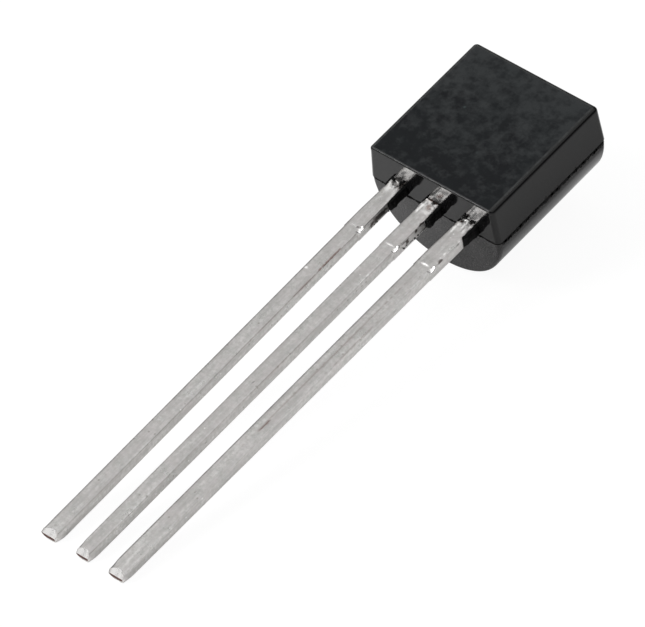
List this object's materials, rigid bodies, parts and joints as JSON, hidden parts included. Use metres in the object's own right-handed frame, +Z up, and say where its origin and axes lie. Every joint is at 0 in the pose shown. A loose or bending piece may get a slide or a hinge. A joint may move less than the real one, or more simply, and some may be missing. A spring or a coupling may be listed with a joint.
{
  "type": "to-92 transistor",
  "caption": "Small-signal transistor in a D-shaped black moulded plastic body with a flat face, a round back and a row of long flat tinned leads.",
  "frame": {"origin": "on the surface that the part lies on, under the middle of the whole part", "axes": "+Z up; the leads run towards -Y and the body's top end points towards +Y, tilted up by 8.59 degrees; X runs across the row of leads, and the flat face looks up"},
  "size_m": [0.0046, 0.0196, 0.0041],
  "materials": {
    "moulding_compound": "satin",
    "tinned_strip": "satin",
    "silicon": "polished",
    "bond_wire": "polished"
  },
  "bodies": {
    "root": {"epoxy_body": "moulding_compound", "emitter_lead": "tinned_strip", "base_lead": "tinned_strip", "collector_lead": "tinned_strip", "silicon_die": "silicon", "emitter_bond_wire": "bond_wire", "base_bond_wire": "bond_wire"}
  },
  "joints": []
}
